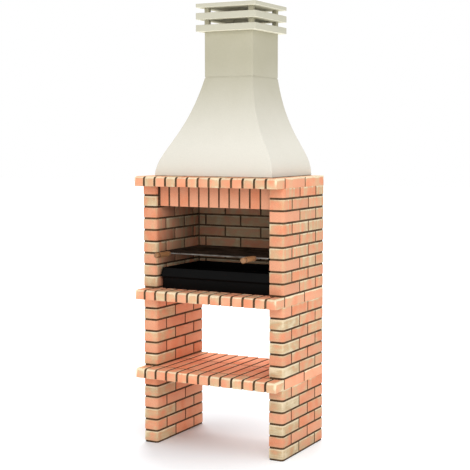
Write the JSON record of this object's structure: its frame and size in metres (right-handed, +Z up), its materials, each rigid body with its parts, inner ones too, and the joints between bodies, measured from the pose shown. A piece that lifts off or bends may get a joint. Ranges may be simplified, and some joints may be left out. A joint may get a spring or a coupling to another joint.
{
  "type": "outdoor masonry barbecue",
  "caption": "Free-standing brick barbecue: two piers carry overhanging brick shelves and a firebox with a sliding grill and charcoal tray, under a curved concrete hood, flue and rain cap.",
  "frame": {"origin": "on the ground, under the middle of the whole outline, from the tips of the grill handles to the back of the rain cap", "axes": "+X to the right along the front, +Y from the front to the back, +Z up"},
  "size_m": [0.811, 0.6414, 2.291],
  "materials": {
    "brick": "rough fired clay",
    "mortar": "raked cement mortar",
    "concrete": "smooth cast, painted cream",
    "black_steel": "matt black stoved paint",
    "rod_steel": "mill scale",
    "wire_steel": "dull zinc plated wire",
    "wood": "turned and oiled"
  },
  "bodies": {
    "masonry": {"left_lower_bricks": "brick", "left_middle_bricks": "brick", "left_upper_bricks": "brick", "left_lower_mortar": "mortar", "left_middle_mortar": "mortar", "left_upper_mortar": "mortar", "left_ground_bed": "mortar", "left_grill_ledge": "black_steel", "right_lower_bricks": "brick", "right_middle_bricks": "brick", "right_upper_bricks": "brick", "right_lower_mortar": "mortar", "right_middle_mortar": "mortar", "right_upper_mortar": "mortar", "right_ground_bed": "mortar", "right_grill_ledge": "black_steel", "lower_shelf_bricks": "brick", "lower_shelf_mortar": "mortar", "lower_shelf_rods": "rod_steel", "hearth_shelf_bricks": "brick", "hearth_shelf_mortar": "mortar", "hearth_shelf_rods": "rod_steel", "top_shelf_bricks": "brick", "top_shelf_mortar": "mortar", "top_shelf_rods": "rod_steel", "back_wall_bricks": "brick", "lintel_bricks": "brick", "back_wall_mortar": "mortar", "lintel_mortar": "mortar", "hood_mortar_bed": "mortar", "flue_mortar_bed": "mortar", "lintel_rod": "rod_steel", "hood_shell": "concrete", "flue_pipe": "concrete", "cap_bottom_frame": "concrete", "cap_lower_posts": "concrete", "cap_middle_frame": "concrete", "cap_upper_posts": "concrete", "cap_top_plate": "concrete"},
    "grill": {"grill_frame": "wire_steel", "grill_bars": "wire_steel", "grill_cross_bars": "wire_steel", "left_handle_shank": "wire_steel", "right_handle_shank": "wire_steel", "left_handle": "wood", "right_handle": "wood"},
    "tray": {"charcoal_tray": "black_steel"}
  },
  "joints": [
    {"name": "grill_slide", "type": "slide", "parent": "masonry", "child": "grill", "axis": [0, -1, 0], "range_m": [0, 0.35]},
    {"name": "tray_slide", "type": "slide", "parent": "masonry", "child": "tray", "axis": [0, -1, 0], "range_m": [0, 0.28]}
  ]
}
